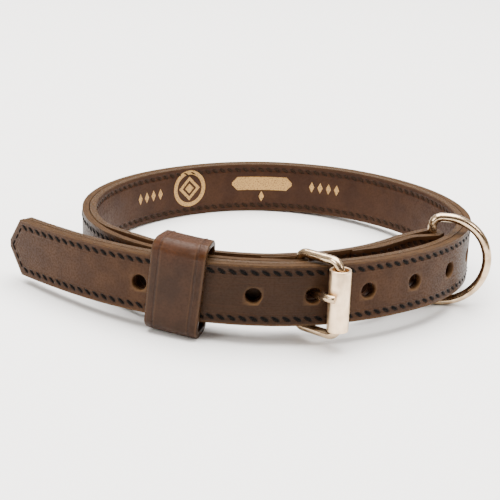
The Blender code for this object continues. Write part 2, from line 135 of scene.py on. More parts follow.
def ease(value):
    """From 0 to 1 with soft ends."""
    share = min(max(value, 0.0), 1.0)
    return share * share * (3.0 - 2.0 * share)


def walk(start, table, length, paces):
    """Places and headings along a course, evenly spaced."""
    shares = [row[0] for row in table]
    headings = [row[1] for row in table]
    place = Vector(start)
    marks = [(place.copy(), math.radians(headings[0]))]
    for pace in range(paces):
        heading = math.radians(float(np.interp((pace + 0.5) / paces, shares, headings)))
        place = place + Vector((math.cos(heading), math.sin(heading))) * (length / paces)
        ahead = math.radians(float(np.interp((pace + 1.0) / paces, shares, headings)))
        marks.append((place.copy(), ahead))
    return marks


def beside(marks, length, distance, offset):
    """The place beside a walked course, outward being positive, and the outward direction."""
    index = min(max(distance / length, 0.0), 1.0) * (len(marks) - 1)
    low = min(int(index), len(marks) - 2)
    share = index - low
    heading = marks[low][1] + (marks[low + 1][1] - marks[low][1]) * share
    outward = Vector((math.sin(heading), -math.cos(heading)))
    return marks[low][0].lerp(marks[low + 1][0], share) + outward * offset, outward


def spun(direction, degrees):
    """A direction in plan, turned left by so many degrees."""
    return Matrix.Rotation(math.radians(degrees), 2) @ direction


def run_lengths(path):
    """How far along a path each of its points lies."""
    steps = [0.0]
    for first, second in zip(path, path[1:]):
        steps.append(steps[-1] + (second - first).length)
    return steps


def work_on(piece):
    """Select one piece alone and make it active."""
    bpy.ops.object.select_all(action="DESELECT")
    piece.select_set(True)
    bpy.context.view_layer.objects.active = piece


def finish_with(piece, kind, **settings):
    """Give a piece one modifier and apply it."""
    work_on(piece)
    made = piece.modifiers.new("shaping", kind)
    for key, value in settings.items():
        setattr(made, key, value)
    bpy.ops.object.modifier_apply(modifier=made.name)


def leather_blank(name, length, thickness, width):
    """A straight strip: along X from 0, thick along Y from its outer face, wide along Z."""
    bpy.ops.object.select_all(action="DESELECT")
    bpy.ops.mesh.primitive_cube_add(size=1.0, location=(length / 2.0, thickness / 2.0, width / 2.0))
    piece = bpy.context.object
    piece.name = name
    piece.data.name = name
    piece.scale = (length, thickness, width)
    bpy.ops.object.transform_apply(location=True, rotation=True, scale=True)
    return piece


def trim_tail(piece):
    """Cut the two corners of a strip's tail to a blunt point."""
    middle = STRAP_WIDTH / 2.0
    lean = Vector((TAIL_POINT, 0.0, (STRAP_WIDTH - TAIL_BLUNT) / 2.0)).normalized()
    work_on(piece)
    bpy.ops.object.mode_set(mode="EDIT")
    for side in (-1.0, 1.0):
        bpy.ops.mesh.select_all(action="SELECT")
        bpy.ops.mesh.bisect(
            plane_co=(0.0, 0.0, middle + side * TAIL_BLUNT / 2.0),
            plane_no=(-lean.z, 0.0, side * lean.x), use_fill=True, clear_outer=True,
        )
    bpy.ops.object.mode_set(mode="OBJECT")


def punch(piece, centres, thickness):
    """Punch round holes straight through a flat strip."""
    bpy.ops.object.select_all(action="DESELECT")
    punches = []
    for centre in centres:
        bpy.ops.mesh.primitive_cylinder_add(
            vertices=40, radius=HOLE_DIAMETER / 2.0, depth=thickness * 3.0,
            location=(centre, thickness / 2.0, STRAP_WIDTH / 2.0), rotation=(math.pi / 2.0, 0.0, 0.0),
        )
        punches.append(bpy.context.object)
    for tool in punches:
        tool.select_set(True)
    bpy.ops.object.join()
    tool = bpy.context.object
    finish_with(piece, "BOOLEAN", operation="DIFFERENCE", solver="EXACT", object=tool)
    bpy.data.objects.remove(tool, do_unlink=True)


def cross_cut(piece, length, heights):
    """Cut a flat strip across at even steps and along at some heights, so that it bends smoothly."""
    work_on(piece)
    bpy.ops.object.mode_set(mode="EDIT")
    for height in heights:
        bpy.ops.mesh.select_all(action="SELECT")
        bpy.ops.mesh.bisect(plane_co=(0.0, 0.0, height), plane_no=(0.0, 0.0, 1.0))
    count = int(length / CROSS_CUT_STEP)
    for index in range(1, count):
        bpy.ops.mesh.select_all(action="SELECT")
        bpy.ops.mesh.bisect(plane_co=(length * index / count, 0.0, 0.0), plane_no=(1.0, 0.0, 0.0))
    bpy.ops.object.mode_set(mode="OBJECT")


def keep_lay(piece):
    """Keep the flat lay of the leather as an attribute, in millimetres, for its surface patterns."""
    lay = piece.data.attributes.new("lay", "FLOAT_VECTOR", "POINT")
    spots = np.empty(len(piece.data.vertices) * 3, np.float32)
    piece.data.vertices.foreach_get("co", spots)
    lay.data.foreach_set("vector", spots * 1000.0)


def bend_along(piece, path):
    """Bend a straight piece along a path in plan, its X running along the path."""
    line = bpy.data.curves.new("bending_line", "CURVE")
    line.dimensions = "3D"
    line.twist_mode = "Z_UP"
    spline = line.splines.new("POLY")
    spline.points.add(len(path) - 1)
    for point, spot in zip(spline.points, path):
        point.co = (spot.x, spot.y, 0.0, 1.0)
    guide = bpy.data.objects.new("bending_line", line)
    bpy.context.scene.collection.objects.link(guide)
    finish_with(piece, "CURVE", object=guide, deform_axis="POS_X")
    bpy.data.objects.remove(guide, do_unlink=True)
    bpy.data.curves.remove(line)


LEAN = Matrix.Rotation(math.radians(-1.291), 4, "Y") @ Matrix.Rotation(math.radians(-2.866), 4, "X")
SETTLE = Matrix.Translation((-0.0000136, -0.0000002, 0.0046184)) @ LEAN


def settle(piece):
    """Lean a piece made on the level strap into the collar's resting place."""
    piece.matrix_world = SETTLE @ piece.matrix_world
    work_on(piece)
    bpy.ops.object.transform_apply(location=True, rotation=True, scale=True)


STRAP_WALK = walk(TAIL_PLACE, STRAP_COURSE, STRAP_LENGTH, 1400)
OUTER_OFFSET = LEATHER_THICKNESS + LAYER_GAP / 2.0
FOLD_REACH = BAR_WIRE / 2.0 + WIRE_CLEARANCE + SKIVED_THICKNESS
BAR, BAR_OUT = beside(STRAP_WALK, STRAP_LENGTH, BAR_DISTANCE, OUTER_OFFSET - FOLD_REACH)
strap_steps = [0.001 * step for step in range(int(BAR_DISTANCE * 1000.0) + 1)]
face_path = [beside(STRAP_WALK, STRAP_LENGTH, step, OUTER_OFFSET)[0] for step in strap_steps]
for turn in range(1, 24):
    face_path.append(BAR + spun(BAR_OUT, 7.5 * turn) * FOLD_REACH)
fold_start_offset = 2.0 * FOLD_REACH - OUTER_OFFSET
fold_end_offset = FOLD_END_THICKNESS + FOLD_END_STAND_OFF - LAYER_GAP / 2.0
for step in range(0, 33):
    share = step / 32.0
    offset = fold_start_offset + (fold_end_offset - fold_start_offset) * ease(share * 1.2)
    spot = beside(STRAP_WALK, STRAP_LENGTH, BAR_DISTANCE - FOLD_LENGTH * share, -offset)[0]
    face_path.append(spot)
face_runs = run_lengths(face_path)
face_length = face_runs[-1]


def on_face(distance):
    """How far along the face leather a distance along the strap lies."""
    return float(np.interp(distance, strap_steps, face_runs[:len(strap_steps)]))


hole_distances = [PRONG_HOLE_PLACE + HOLE_STEP * (index - HOLES_BEFORE_PRONG) for index in range(HOLES_IN_ALL)]
face = leather_blank("face_leather", face_length, LEATHER_THICKNESS, STRAP_WIDTH)
trim_tail(face)
punch(face, [on_face(distance) for distance in hole_distances], LEATHER_THICKNESS)
slot_low = on_face(BAR_DISTANCE - PRONG_SLOT_REACH)
slot_high = face_runs[len(strap_steps) + 23] + PRONG_SLOT_REACH
bpy.ops.object.select_all(action="DESELECT")
bpy.ops.mesh.primitive_cube_add(size=1.0, location=((slot_low + slot_high) / 2.0, 0.0, STRAP_WIDTH / 2.0))
slot_tool = bpy.context.object
slot_tool.scale = (slot_high - slot_low, LEATHER_THICKNESS * 4.0, PRONG_SLOT_HEIGHT)
bpy.ops.object.transform_apply(location=True, rotation=True, scale=True)
finish_with(face, "BOOLEAN", operation="DIFFERENCE", solver="EXACT", object=slot_tool)
bpy.data.objects.remove(slot_tool, do_unlink=True)
finish_with(
    face, "BEVEL", width=ARRIS, segments=3, limit_method="ANGLE", angle_limit=math.radians(40.0),
    use_clamp_overlap=False,
)
cross_cut(face, face_length, (0.0018, 0.0044, 0.0085, 0.0169, 0.0210, 0.0236))
keep_lay(face)
# Hole rims: worn and lighter, most at the lower side, where a painted highlight stands.
rim_wear_and_highlight = face.data.attributes.new("rim_wear_and_highlight", "FLOAT", "POINT")
for index, vert in enumerate(face.data.vertices):
    amount = 0.0
    for distance in hole_distances:
        across = Vector((vert.co.x - on_face(distance), vert.co.z - STRAP_WIDTH / 2.0))
        reach = across.length
        if reach < HOLE_DIAMETER / 2.0 + ARRIS * 1.2 and vert.co.y < ARRIS * 1.1:
            amount = 0.25 + 0.6 * ease((across.x * 0.35 - across.y) / reach)
    rim_wear_and_highlight.data[index].value = amount
skive_start = on_face(BAR_DISTANCE - SKIVE_LENGTH)
fold_end = face_runs[-1]
for vert in face.data.vertices:
    skive = ease((vert.co.x - skive_start) / (SKIVE_LENGTH * 0.8))
    thin = SKIVED_THICKNESS
    if vert.co.x > on_face(BAR_DISTANCE):
        late = (vert.co.x - (fold_end - FOLD_LENGTH)) / FOLD_LENGTH
        thin = SKIVED_THICKNESS + (FOLD_END_THICKNESS - SKIVED_THICKNESS) * max(late, 0.0)
    vert.co.y *= (LEATHER_THICKNESS + (thin - LEATHER_THICKNESS) * skive) / LEATHER_THICKNESS
bend_along(face, face_path)

def put(tree, kind, feeds=(), **settings):
    """Add a node, set its settings, and feed its inputs with values or with other nodes' outputs."""
    made = tree.nodes.new(kind)
    for key, value in settings.items():
        setattr(made, key, value)
    for key, value in dict(feeds).items():
        if isinstance(value, bpy.types.NodeSocket):
            tree.links.new(value, made.inputs[key])
        else:
            made.inputs[key].default_value = value
    return made


def calc(tree, operation, first, second=0.0, third=0.0):
    """One step of arithmetic on values."""
    return put(tree, "ShaderNodeMath", {0: first, 1: second, 2: third}, operation=operation).outputs[0]


def fade(tree, value, low, high, to_low=0.0, to_high=1.0):
    """A value eased from one level to another between two limits."""
    feeds = {"Value": value, "From Min": low, "From Max": high, "To Min": to_low, "To Max": to_high}
    return put(tree, "ShaderNodeMapRange", feeds, interpolation_type="SMOOTHSTEP").outputs["Result"]


def blend_colour(tree, share, first, second, way="MIX"):
    """Two colours mixed by a share."""
    feeds = {0: share, 6: first, 7: second}
    return put(tree, "ShaderNodeMix", feeds, data_type="RGBA", blend_type=way).outputs[2]


def start_group(name, takes, gives):
    """An empty shader node group with named inputs and outputs."""
    tree = bpy.data.node_groups.new(name, "ShaderNodeTree")
    for label, kind in takes:
        tree.interface.new_socket(name=label, in_out="INPUT", socket_type=kind)
    for label in gives:
        tree.interface.new_socket(name=label, in_out="OUTPUT", socket_type="NodeSocketFloat")
    return tree, tree.nodes.new("NodeGroupInput"), tree.nodes.new("NodeGroupOutput")


def place_group(tree, group, **feeds):
    """A shader node group placed in a material."""
    made = tree.nodes.new("ShaderNodeGroup")
    made.node_tree = group
    for key, value in feeds.items():
        if isinstance(value, bpy.types.NodeSocket):
            tree.links.new(value, made.inputs[key])
        else:
            made.inputs[key].default_value = value
    return made


# Grain: cloudy dye, fine pores and short fibre wrinkles of a smooth bridle hide, in millimetres
grain, grain_in, grain_out = start_group(
    "hide_grain", (("Place", "NodeSocketVector"),), ("Cloud", "Speck", "Height"),
)
cloud = put(grain, "ShaderNodeTexNoise", {"Vector": grain_in.outputs[0], "Scale": 0.11, "Detail": 5.0})
speck = put(grain, "ShaderNodeTexNoise", {"Vector": grain_in.outputs[0], "Scale": 1.1, "Detail": 6.0})
pores = put(grain, "ShaderNodeTexVoronoi", {"Vector": grain_in.outputs[0], "Scale": 1.9})
pore_dips = fade(grain, pores.outputs["Distance"], 0.0, 0.45, 0.0, 1.0)
grain_height = calc(grain, "MULTIPLY_ADD", pore_dips, 0.5, calc(grain, "MULTIPLY", speck.outputs[0], 0.8))
grain.links.new(fade(grain, cloud.outputs[0], 0.34, 0.66), grain_out.inputs["Cloud"])
grain.links.new(fade(grain, speck.outputs[0], 0.36, 0.68), grain_out.inputs["Speck"])
grain.links.new(grain_height, grain_out.inputs["Height"])

# Strap marks: how near a place in the flat lay is to the cut edge, the arris and the stitch holes
marks, marks_in, marks_out = start_group(
    "strap_marks", (("Place", "NodeSocketVector"), ("Slant", "NodeSocketFloat")),
    ("Cut Edge", "Arris", "Stitch Hole", "Row", "Crease"),
)
axes = put(marks, "ShaderNodeSeparateXYZ", {0: marks_in.outputs["Place"]})
middle_mm = STRAP_WIDTH * 500.0
from_middle = calc(marks, "SUBTRACT", axes.outputs[2], middle_mm)
half_way = calc(marks, "ABSOLUTE", from_middle)
from_edge = calc(marks, "SUBTRACT", middle_mm, half_way)
beyond_blunt = calc(marks, "SUBTRACT", half_way, TAIL_BLUNT * 500.0)
from_point = calc(marks, "MULTIPLY_ADD", beyond_blunt, -0.588, calc(marks, "MULTIPLY", axes.outputs[0], 0.809))
inset = calc(marks, "MINIMUM", calc(marks, "MINIMUM", from_edge, from_point), axes.outputs[0])
marks.links.new(fade(marks, inset, 0.08, 0.38, 1.0, 0.0), marks_out.inputs["Cut Edge"])
rising = fade(marks, inset, 0.05, 0.30)
falling = fade(marks, inset, 0.40, 1.15, 1.0, 0.0)
marks.links.new(calc(marks, "MULTIPLY", rising, falling), marks_out.inputs["Arris"])
row_side = calc(marks, "SIGN", from_middle)
row_level = calc(marks, "MULTIPLY", row_side, (STRAP_WIDTH / 2.0 - 0.0030) * 1000.0)
off_row = calc(marks, "SUBTRACT", from_middle, row_level)
along_row = calc(marks, "SUBTRACT", axes.outputs[0], 11.8 - 2.2)
along_row = calc(marks, "SUBTRACT", calc(marks, "FLOORED_MODULO", along_row, 4.4), 2.2)
slant_run = calc(marks, "COSINE", marks_in.outputs["Slant"])
slant_rise = calc(marks, "SINE", marks_in.outputs["Slant"])
along = calc(marks, "SUBTRACT", calc(marks, "MULTIPLY", along_row, slant_run), calc(marks, "MULTIPLY", off_row, slant_rise))
across = calc(marks, "ADD", calc(marks, "MULTIPLY", along_row, slant_rise), calc(marks, "MULTIPLY", off_row, slant_run))
along = calc(marks, "POWER", calc(marks, "ABSOLUTE", calc(marks, "DIVIDE", along, 2.15)), 2.0)
across = calc(marks, "POWER", calc(marks, "ABSOLUTE", calc(marks, "DIVIDE", across, 0.85)), 2.0)
hole = fade(marks, calc(marks, "ADD", along, across), 0.45, 1.25, 1.0, 0.0)
past_point = fade(marks, axes.outputs[0], 9.0, 9.8)
marks.links.new(calc(marks, "MULTIPLY", hole, past_point), marks_out.inputs["Stitch Hole"])
row_inset = calc(marks, "ABSOLUTE", calc(marks, "SUBTRACT", inset, 3.0))
marks.links.new(fade(marks, row_inset, 0.3, 1.5, 1.0, 0.0), marks_out.inputs["Row"])
crease_inset = calc(marks, "ABSOLUTE", calc(marks, "SUBTRACT", inset, 4.9))
marks.links.new(fade(marks, crease_inset, 0.05, 0.32, 1.0, 0.0), marks_out.inputs["Crease"])

# Face leather finish: dark brown dye, darker and drawn into fine lines where the buckle has pulled,
# paler cut edges with fibres, arrises and hole rims worn and lighter with a painted highlight, and
# painted shade along the stitch rows and in the stitch holes
face_finish = bpy.data.materials.new("face_leather")
face_finish.use_nodes = True
tree = face_finish.node_tree
lay = put(tree, "ShaderNodeAttribute", attribute_name="lay").outputs["Vector"]
rim_wear_and_highlight = put(tree, "ShaderNodeAttribute", attribute_name="rim_wear_and_highlight").outputs["Fac"]
hide = place_group(tree, grain, Place=lay)
worked = place_group(tree, marks, Place=lay, Slant=math.radians(30.0))
lay_axes = put(tree, "ShaderNodeSeparateXYZ", {0: lay})
drawn = calc(
    tree, "MULTIPLY", fade(tree, lay_axes.outputs[0], 88.0, 108.0), fade(tree, lay_axes.outputs[0], 150.0, 176.0, 1.0, 0.0),
)
dye = blend_colour(tree, hide.outputs["Cloud"], (0.0301, 0.0116, 0.0038, 1.0), (0.0427, 0.0174, 0.0058, 1.0))
dye = blend_colour(tree, calc(tree, "MULTIPLY", hide.outputs["Speck"], 0.35), dye, (0.0205, 0.0079, 0.0027, 1.0))
dye = blend_colour(tree, calc(tree, "MULTIPLY", drawn, 0.75), dye, (0.0158, 0.0068, 0.0025, 1.0))
drawn_place = put(tree, "ShaderNodeVectorMath", {0: lay, 1: (0.012, 1.0, 0.85)}, operation="MULTIPLY").outputs[0]
lines = put(tree, "ShaderNodeTexNoise", {"Vector": drawn_place, "Scale": 1.0, "Detail": 4.0}).outputs[0]
line_mask = calc(tree, "MULTIPLY", fade(tree, calc(tree, "ABSOLUTE", calc(tree, "SUBTRACT", lines, 0.5)), 0.0, 0.035, 1.0, 0.0), drawn)
dye = blend_colour(tree, calc(tree, "MULTIPLY", line_mask, 0.45), dye, (0.0291, 0.0105, 0.0034, 1.0))
fibre_place = put(tree, "ShaderNodeVectorMath", {0: lay, 1: (0.25, 4.0, 0.3)}, operation="MULTIPLY").outputs[0]
fibre = put(tree, "ShaderNodeTexNoise", {"Vector": fibre_place, "Scale": 1.0, "Detail": 5.0}).outputs[0]
cut = blend_colour(tree, fade(tree, fibre, 0.3, 0.7), (0.0256, 0.0116, 0.0036, 1.0), (0.0581, 0.0274, 0.0089, 1.0))
# Arrises and hole rims: worn and lighter, with a painted highlight along the rounded corner.
wear_and_painted_highlight = calc(tree, "MULTIPLY", worked.outputs["Arris"], fade(tree, hide.outputs["Speck"], 0.0, 0.9, 0.25, 0.8))
wear_and_painted_highlight = calc(tree, "MAXIMUM", wear_and_painted_highlight, rim_wear_and_highlight)
skin = blend_colour(tree, worked.outputs["Cut Edge"], dye, cut)
skin = blend_colour(tree, wear_and_painted_highlight, skin, (0.0804, 0.0408, 0.0158, 1.0))
# Painted shade: darker along the sunk stitch rows, and nearly black in the stitch holes round the thread.
skin = blend_colour(tree, calc(tree, "MULTIPLY", worked.outputs["Row"], 0.25), skin, (0.0154, 0.0063, 0.0023, 1.0))
skin = blend_colour(tree, calc(tree, "MULTIPLY", worked.outputs["Stitch Hole"], 0.93), skin, (0.0021, 0.0011, 0.0005, 1.0))
relief = calc(tree, "MULTIPLY_ADD", hide.outputs["Height"], 0.030, calc(tree, "MULTIPLY", worked.outputs["Stitch Hole"], -0.35))
relief = calc(tree, "MULTIPLY_ADD", worked.outputs["Row"], -0.12, relief)
relief = calc(tree, "MULTIPLY_ADD", worked.outputs["Crease"], -0.05, relief)
relief = calc(tree, "MULTIPLY_ADD", line_mask, -0.04, relief)
relief = calc(tree, "MULTIPLY_ADD", calc(tree, "MULTIPLY", fibre, worked.outputs["Cut Edge"]), 0.35, relief)
bump = put(tree, "ShaderNodeBump", {"Height": relief, "Strength": 1.0, "Distance": 0.001})
shader = tree.nodes["Principled BSDF"]
tree.links.new(skin, shader.inputs["Base Color"])
tree.links.new(fade(tree, calc(tree, "MAXIMUM", worked.outputs["Cut Edge"], hide.outputs["Speck"]), 0.0, 1.0, 0.44, 0.68), shader.inputs["Roughness"])
tree.links.new(bump.outputs[0], shader.inputs["Normal"])
shader.inputs["Specular IOR Level"].default_value = 0.12
face.data.materials.append(face_finish)
work_on(face)
bpy.ops.object.shade_smooth_by_angle(angle=math.radians(35.0))
settle(face)
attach(face, "collar")
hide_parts("strap_outer_ply")

# Lining leather: the smooth inner strip, sewn to the back of the face leather. It stands off a
# little over the lap, and past the buckle it goes on as the tab that folds round the ring's bar.
LINING_STAND_OFF = 0.0033
LINING_BAR_STAND_OFF = 0.0044
STAND_OFF_START = 0.565
STAND_OFF_LENGTH = 0.030
TAB_LENGTH = 0.0715
# columns: share of the tab's length, heading in degrees
TAB_COURSE = ((0.0, 11.5), (0.2, 24.2), (0.4, 35.0), (0.6, 45.8), (0.8, 44.7), (1.0, 34.6))
TAB_RETURN = 0.0480
TAB_SETTLE = 0.0140
TAB_END_THICKNESS = 0.0014
RING_WIRE = 0.0040


def lining_offset(distance):
    """Offset of the lining's outward side from the strap's middle line."""
    rise = ease((distance - STAND_OFF_START) / STAND_OFF_LENGTH)
    more = ease((distance - (BAR_DISTANCE - SKIVE_LENGTH)) / SKIVE_LENGTH)
    stand_off = LINING_STAND_OFF * rise + (LINING_BAR_STAND_OFF - LINING_STAND_OFF) * more
    return -LAYER_GAP / 2.0 - stand_off


half_thick = LEATHER_THICKNESS / 2.0
lining_path = [beside(STRAP_WALK, STRAP_LENGTH, step, lining_offset(step))[0] for step in strap_steps]
tab_start = beside(STRAP_WALK, STRAP_LENGTH, BAR_DISTANCE, lining_offset(BAR_DISTANCE) - half_thick)[0]
TAB_WALK = walk(tab_start, TAB_COURSE, TAB_LENGTH, 200)
for step in range(1, 73):
    lining_path.append(beside(TAB_WALK, TAB_LENGTH, TAB_LENGTH * step / 72, half_thick)[0])
tab_end, tab_out = beside(TAB_WALK, TAB_LENGTH, TAB_LENGTH, 0.0)
RING_REACH = RING_WIRE / 2.0 + WIRE_CLEARANCE
RING_BAR = tab_end + tab_out * (RING_REACH + half_thick)
for turn in range(1, 18):
    lining_path.append(RING_BAR - spun(tab_out, -10.0 * turn) * RING_REACH)
tab_return_start = len(lining_path)
for step in range(0, 49):
    distance = TAB_RETURN * step / 48
    gap = half_thick + 2.0 * RING_REACH
    gap = gap + (half_thick + LAYER_GAP - gap) * ease(distance / TAB_SETTLE)
    lining_path.append(beside(TAB_WALK, TAB_LENGTH, TAB_LENGTH - distance, gap)[0])
lining_runs = run_lengths(lining_path)
lining_length = lining_runs[-1]


def on_lining(distance):
    """How far along the lining a distance along the strap lies."""
    return float(np.interp(distance, strap_steps, lining_runs[:len(strap_steps)]))


lining = leather_blank("lining_leather", lining_length, LEATHER_THICKNESS, STRAP_WIDTH)
trim_tail(lining)
punch(lining, [on_lining(distance) for distance in hole_distances], LEATHER_THICKNESS)
finish_with(
    lining, "BEVEL", width=ARRIS, segments=3, limit_method="ANGLE", angle_limit=math.radians(40.0),
    use_clamp_overlap=False,
)
cross_cut(lining, lining_length, (0.0018, 0.0044, 0.0085, 0.0169, 0.0210, 0.0236))
keep_lay(lining)
thin_start = lining_length - TAB_RETURN * 0.3
for vert in lining.data.vertices:
    skive = ease((vert.co.x - thin_start) / (TAB_RETURN * 0.3))
    vert.co.y *= (LEATHER_THICKNESS + (TAB_END_THICKNESS - LEATHER_THICKNESS) * skive) / LEATHER_THICKNESS
bend_along(lining, lining_path)
lining_finish = bpy.data.materials.new("lining_leather")
lining_finish.use_nodes = True
tree = lining_finish.node_tree
lay = put(tree, "ShaderNodeAttribute", attribute_name="lay").outputs["Vector"]
hide = place_group(tree, grain, Place=lay)
worked = place_group(tree, marks, Place=lay, Slant=math.radians(-30.0))
dye = blend_colour(tree, hide.outputs["Cloud"], (0.0267, 0.0092, 0.0030, 1.0), (0.0370, 0.0135, 0.0043, 1.0))
dye = blend_colour(tree, calc(tree, "MULTIPLY", hide.outputs["Speck"], 0.3), dye, (0.0178, 0.0062, 0.0020, 1.0))
fibre_place = put(tree, "ShaderNodeVectorMath", {0: lay, 1: (0.25, 4.0, 0.3)}, operation="MULTIPLY").outputs[0]
fibre = put(tree, "ShaderNodeTexNoise", {"Vector": fibre_place, "Scale": 1.0, "Detail": 5.0}).outputs[0]
cut = blend_colour(tree, fade(tree, fibre, 0.3, 0.7), (0.0256, 0.0119, 0.0036, 1.0), (0.0581, 0.0279, 0.0091, 1.0))
# Arrises: worn and lighter, with a painted highlight along the rounded corner.
wear_and_painted_highlight = calc(tree, "MULTIPLY", worked.outputs["Arris"], fade(tree, hide.outputs["Speck"], 0.0, 0.9, 0.1, 0.5))
skin = blend_colour(tree, worked.outputs["Cut Edge"], dye, cut)
skin = blend_colour(tree, wear_and_painted_highlight, skin, (0.0581, 0.0269, 0.0099, 1.0))
# Painted shade: darker along the sunk stitch rows and in the stitch holes.
skin = blend_colour(tree, calc(tree, "MULTIPLY", worked.outputs["Row"], 0.25), skin, (0.0137, 0.0048, 0.0017, 1.0))
skin = blend_colour(tree, calc(tree, "MULTIPLY", worked.outputs["Stitch Hole"], 0.6), skin, (0.0047, 0.0021, 0.0008, 1.0))
relief = calc(tree, "MULTIPLY_ADD", hide.outputs["Height"], 0.022, calc(tree, "MULTIPLY", worked.outputs["Stitch Hole"], -0.25))
relief = calc(tree, "MULTIPLY_ADD", worked.outputs["Row"], -0.14, relief)
relief = calc(tree, "MULTIPLY_ADD", calc(tree, "MULTIPLY", fibre, worked.outputs["Cut Edge"]), 0.35, relief)
bump = put(tree, "ShaderNodeBump", {"Height": relief, "Strength": 1.0, "Distance": 0.001})
shader = tree.nodes["Principled BSDF"]
tree.links.new(skin, shader.inputs["Base Color"])
tree.links.new(fade(tree, hide.outputs["Speck"], 0.0, 1.0, 0.40, 0.58), shader.inputs["Roughness"])
tree.links.new(bump.outputs[0], shader.inputs["Normal"])
shader.inputs["Specular IOR Level"].default_value = 0.12
lining.data.materials.append(lining_finish)
work_on(lining)
bpy.ops.object.shade_smooth_by_angle(angle=math.radians(35.0))
settle(lining)
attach(lining, "collar")
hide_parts("strap_lining_ply")

# Thread: dark waxed linen, about six stitches to the inch in two rows 3 mm in from the edges. It
# runs through both leathers, shows on both sides, and follows the point of the tail.
STITCH_STEP = 0.0044
STITCH_LENGTH = 0.0033
THREAD_THICKNESS = 0.0009
STITCH_SLANT_DEG = 30.0
ROW_INSET = 0.0030
TAIL_ROW_START = 0.0118


def stitch_run(name, start, end, height, side_y, slant):
    """A straight run of slanted stitches in the flat lay, from one modelled stitch."""
    bpy.ops.object.select_all(action="DESELECT")
    bpy.ops.mesh.primitive_uv_sphere_add(segments=10, ring_count=8, radius=0.5, location=(0.0, 0.0, 0.0))
    run = bpy.context.object
    run.name = name
    run.rotation_euler = (0.0, math.pi / 2.0, 0.0)
    run.scale = (THREAD_THICKNESS, THREAD_THICKNESS, STITCH_LENGTH)
    bpy.ops.object.transform_apply(location=True, rotation=True, scale=True)
    run.rotation_euler = (0.0, math.radians(slant), 0.0)
    run.location = (start, side_y, height)
    bpy.ops.object.transform_apply(location=True, rotation=True, scale=True)
    count = max(1, int((end - start) / STITCH_STEP))
    finish_with(
        run, "ARRAY", count=count, use_relative_offset=False, use_constant_offset=True,
        constant_offset_displace=(STITCH_STEP, 0.0, 0.0),
    )
    return run


def tail_stitches(name, side_y):
    """Three stitches along each side of the tail's point, in the flat lay."""
    runs = []
    rise = math.atan2((STRAP_WIDTH - TAIL_BLUNT) / 2.0, TAIL_POINT)
    for side in (-1.0, 1.0):
        for index in range(3):
            reach = 0.0014 + index * 0.0041
            place = (
                0.0025 + reach * math.cos(rise), side_y,
                STRAP_WIDTH / 2.0 + side * reach * math.sin(rise),
            )
            stitch = stitch_run(name, 0.0, 0.0, 0.0, 0.0, 0.0)
            stitch.rotation_euler = (0.0, -side * rise, 0.0)
            stitch.location = place
            work_on(stitch)
            bpy.ops.object.transform_apply(location=True, rotation=True, scale=True)
            runs.append(stitch)
    return runs


def join_runs(runs, name):
    """Join runs of stitches into one piece."""
    bpy.ops.object.select_all(action="DESELECT")
    for run in runs:
        run.select_set(True)
    bpy.context.view_layer.objects.active = runs[0]
    bpy.ops.object.join()
    joined = bpy.context.object
    joined.name = name
    joined.data.name = name
    bpy.ops.object.shade_smooth()
    return joined


sunk = THREAD_THICKNESS * 0.12
face_rows = tail_stitches("face_stitches", sunk)
row_end = on_face(BAR_DISTANCE - SKIVE_LENGTH)
for height, slant in ((ROW_INSET, STITCH_SLANT_DEG), (STRAP_WIDTH - ROW_INSET, STITCH_SLANT_DEG)):
    face_rows.append(stitch_run("face_stitches", TAIL_ROW_START, row_end, height, sunk, slant))
face_stitches = join_runs(face_rows, "face_stitches")
bend_along(face_stitches, face_path)
lining_rows = tail_stitches("lining_stitches", LEATHER_THICKNESS - sunk)
row_end = lining_runs[len(strap_steps) + 68]
for height in (ROW_INSET, STRAP_WIDTH - ROW_INSET):
    run_y = LEATHER_THICKNESS - sunk
    lining_rows.append(stitch_run("lining_stitches", TAIL_ROW_START, row_end, height, run_y, -STITCH_SLANT_DEG))
lining_stitches = join_runs(lining_rows, "lining_stitches")
bend_along(lining_stitches, lining_path)
for rows, finish_name, dark, light in (
    (face_stitches, "waxed_thread", (0.0006, 0.0004, 0.0003, 1.0), (0.0030, 0.0019, 0.0013, 1.0)),
    (lining_stitches, "brown_thread", (0.0110, 0.0064, 0.0034, 1.0), (0.0330, 0.0175, 0.0085, 1.0)),
):
    thread_finish = bpy.data.materials.new(finish_name)
    thread_finish.use_nodes = True
    tree = thread_finish.node_tree
    place = put(tree, "ShaderNodeTexCoord").outputs["Object"]
    twist = put(tree, "ShaderNodeTexNoise", {"Vector": place, "Scale": 2600.0, "Detail": 3.0}).outputs[0]
    wax = blend_colour(tree, fade(tree, twist, 0.35, 0.7), dark, light)
    shader = tree.nodes["Principled BSDF"]
    tree.links.new(wax, shader.inputs["Base Color"])
    bump = put(tree, "ShaderNodeBump", {"Height": twist, "Strength": 0.7, "Distance": 0.00015})
    tree.links.new(bump.outputs[0], shader.inputs["Normal"])
    shader.inputs["Roughness"].default_value = 0.8
    shader.inputs["Specular IOR Level"].default_value = 0.08
    rows.data.materials.append(thread_finish)
for rows in (face_stitches, lining_stitches):
    settle(rows)
    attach(rows, "collar")

# Keeper: one piece of reddish brown leather, creased along both edges, wrapped round the tail and
# closed behind it between the lap's two leathers. It sits a little askew.
KEEPER_WIDTH = 0.0220
KEEPER_THICKNESS = 0.0026
KEEPER_HEIGHT = 0.0400
KEEPER_DROP = 0.0002
KEEPER_LEAN_DEG = 4.5
KEEPER_TURN_DEG = 5.7
KEEPER_PLACE = 0.0929
KEEPER_MARGIN = 0.0040
KEEPER_FRONT_CLEARANCE = 0.0005
KEEPER_BACK_CLEARANCE = 0.0004
KEEPER_CORNER = 0.0055
KEEPER_CREASE_INSET = 0.0035
KEEPER_CREASE_DEPTH = 0.00035


